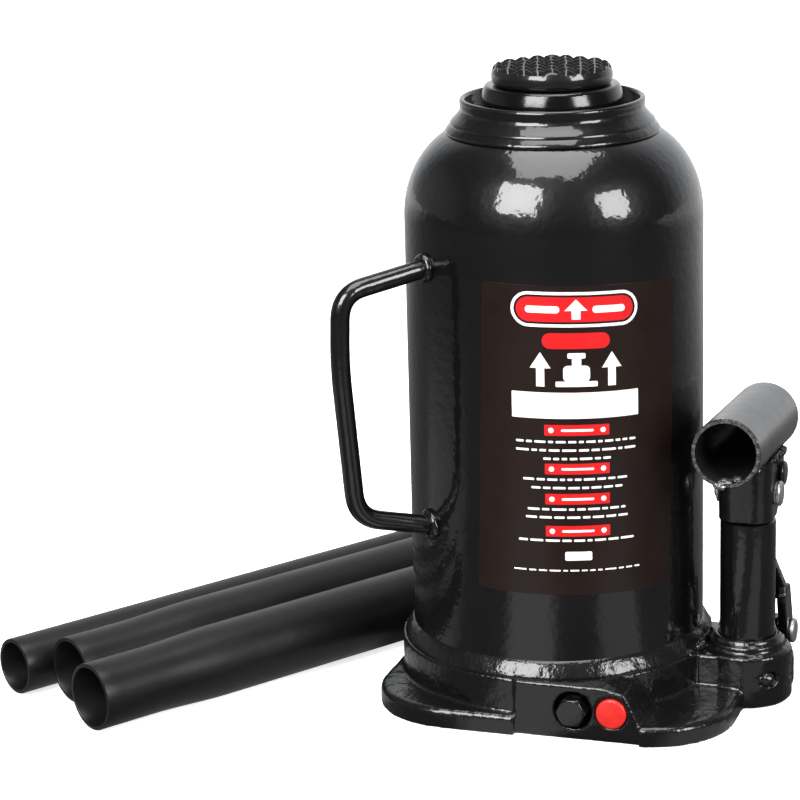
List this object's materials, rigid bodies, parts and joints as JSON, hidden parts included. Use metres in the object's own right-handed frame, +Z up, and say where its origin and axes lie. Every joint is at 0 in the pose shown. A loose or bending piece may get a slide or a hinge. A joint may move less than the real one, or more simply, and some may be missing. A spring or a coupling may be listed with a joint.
{
  "type": "hydraulic bottle jack",
  "caption": "Upright hydraulic bottle jack: domed reservoir on a flanged base, screw saddle on the ram, side hand pump with lever socket, wire carry handle, loose lever tubes.",
  "frame": {"origin": "on the ram axis, at floor level under the base", "axes": "+Z up along the ram, +X toward the hand pump, -Y toward the front with the valves and the open end of the lever socket"},
  "size_m": [0.3014, 0.2792, 0.242],
  "materials": {
    "gloss_black_paint": "gloss paint over steel, slight orange peel",
    "cast_black_paint": "gloss paint over rough casting",
    "dark_socket_paint": "semi-gloss thin black coating",
    "lever_paint": "gloss black paint",
    "zinc_steel": "zinc plated",
    "ground_steel": "ground and honed",
    "bearing_steel": "polished balls",
    "spring_steel": "oiled spring wire",
    "bronze": "turned bronze",
    "seal_rubber": "moulded rubber",
    "red_cap": "bright red plastic",
    "label_print": "satin printed film"
  },
  "bodies": {
    "jack_body": {"base_casting": "cast_black_paint", "reservoir_shell": "gloss_black_paint", "reservoir_foot_weld": "cast_black_paint", "cylinder_head_collar": "gloss_black_paint", "collar_weld": "gloss_black_paint", "ram_wiper_seal": "seal_rubber", "ram_guide_bush": "bronze", "main_cylinder": "ground_steel", "main_cylinder_gasket": "seal_rubber", "carry_handle": "gloss_black_paint", "carry_handle_welds": "gloss_black_paint", "pump_cylinder": "gloss_black_paint", "pump_gland_nut": "ground_steel", "pump_packing": "seal_rubber", "delivery_valve_seat": "ground_steel", "safety_valve_adjuster": "ground_steel", "safety_valve_cap": "red_cap", "safety_valve_spring": "spring_steel", "delivery_valve_spring": "spring_steel", "passage_plugs": "zinc_steel", "rating_label": "label_print"},
    "ram_body": {"ram": "gloss_black_paint", "piston_ring": "ground_steel", "piston_cup_seal": "seal_rubber", "piston_nut": "ground_steel"},
    "stop_ring_body": {"screw_stop_ring": "ground_steel"},
    "screw_body": {"extension_screw": "gloss_black_paint"},
    "plunger_body": {"pump_plunger": "ground_steel", "plunger_cup_seal": "seal_rubber"},
    "link_body": {"pump_link": "gloss_black_paint", "link_lower_pin": "zinc_steel", "link_lower_clip": "zinc_steel"},
    "socket_body": {"lever_socket": "dark_socket_paint", "socket_fork": "dark_socket_paint", "plunger_pin": "zinc_steel", "link_upper_pin": "zinc_steel", "plunger_pin_washer": "zinc_steel", "fork_pin_clips": "zinc_steel"},
    "oring_body": {"release_valve_oring": "seal_rubber"},
    "spindle_body": {"release_valve_spindle": "cast_black_paint"},
    "release_ball_body": {"release_valve_ball": "bearing_steel"},
    "safety_ball_body": {"safety_valve_ball": "bearing_steel"},
    "suction_ball_body": {"suction_valve_ball": "bearing_steel"},
    "delivery_ball_body": {"delivery_valve_ball": "bearing_steel"},
    "filler_plug_body": {"filler_plug": "seal_rubber"},
    "lever_outer_body": {"lever_outer_section": "lever_paint"},
    "lever_middle_body": {"lever_middle_section": "lever_paint"},
    "lever_socket_section_body": {"lever_socket_section": "lever_paint"}
  },
  "joints": [
    {"name": "ram_lift", "type": "slide", "parent": "jack_body", "child": "ram_body", "axis": [0, 0, 1], "range_m": [0, 0.15]},
    {"name": "extension_rise", "type": "slide", "parent": "ram_body", "child": "stop_ring_body", "axis": [0, 0, 1], "range_m": [0, 0.06]},
    {"name": "extension_turn", "type": "hinge", "parent": "stop_ring_body", "child": "screw_body", "pos_m": [0, 0, 0.2344], "axis": [0, 0, 1], "range_deg": [0, 3600]},
    {"name": "link_rock", "type": "hinge", "parent": "jack_body", "child": "link_body", "pos_m": [0.075, 0.02, 0.02], "axis": [-1, 0, 0], "range_deg": [-0.5, 2]},
    {"name": "lever_swing", "type": "hinge", "parent": "link_body", "child": "socket_body", "pos_m": [0.075, 0.01, 0.0865], "axis": [-1, 0, 0], "range_deg": [0, 52]},
    {"name": "pump_stroke", "type": "slide", "parent": "jack_body", "child": "plunger_body", "axis": [0, 0, 1], "range_m": [0, 0.0102]},
    {"name": "release_rise", "type": "slide", "parent": "jack_body", "child": "oring_body", "axis": [0, -1, 0], "range_m": [0, 0.001]},
    {"name": "release_turn", "type": "hinge", "parent": "oring_body", "child": "spindle_body", "pos_m": [0.0225, -0.0616, 0.0113], "axis": [0, -1, 0], "range_deg": [0, 360]},
    {"name": "release_ball_lift", "type": "slide", "parent": "jack_body", "child": "release_ball_body", "axis": [0, -1, 0], "range_m": [0, 0.001]},
    {"name": "safety_ball_lift", "type": "slide", "parent": "jack_body", "child": "safety_ball_body", "axis": [0, -1, 0], "range_m": [0, 0.0006], "deforming": ["safety_valve_spring"]},
    {"name": "suction_ball_lift", "type": "slide", "parent": "jack_body", "child": "suction_ball_body", "axis": [0, 0, 1], "range_m": [0, 0.001]},
    {"name": "delivery_ball_lift", "type": "slide", "parent": "jack_body", "child": "delivery_ball_body", "axis": [-1, 0, 0], "range_m": [0, 0.0006], "deforming": ["delivery_valve_spring"]},
    {"name": "filler_plug_pull", "type": "slide", "parent": "jack_body", "child": "filler_plug_body", "axis": [0, 1, 0], "range_m": [0, 0.02]},
    {"name": "lever_outer_pick_up", "type": "slide", "parent": "jack_body", "child": "lever_outer_body", "axis": [0, 0, 1], "range_m": [0, 0.1]},
    {"name": "lever_middle_pick_up", "type": "slide", "parent": "jack_body", "child": "lever_middle_body", "axis": [0, 0, 1], "range_m": [0, 0.1]},
    {"name": "lever_socket_section_pick_up", "type": "slide", "parent": "jack_body", "child": "lever_socket_section_body", "axis": [0, 0, 1], "range_m": [0, 0.1]}
  ],
  "couplings": [
    {"joint": "extension_turn", "follows": "extension_rise", "rad_per_m": 1047.2},
    {"joint": "release_turn", "follows": "release_rise", "rad_per_m": 6283.2},
    {"joint": "release_ball_lift", "follows": "release_rise", "ratio": 1},
    {"joint": "pump_stroke", "follows": "lever_swing", "m_per_rad": 0.01104},
    {"joint": "link_rock", "follows": "lever_swing", "ratio": 0.0138}
  ]
}
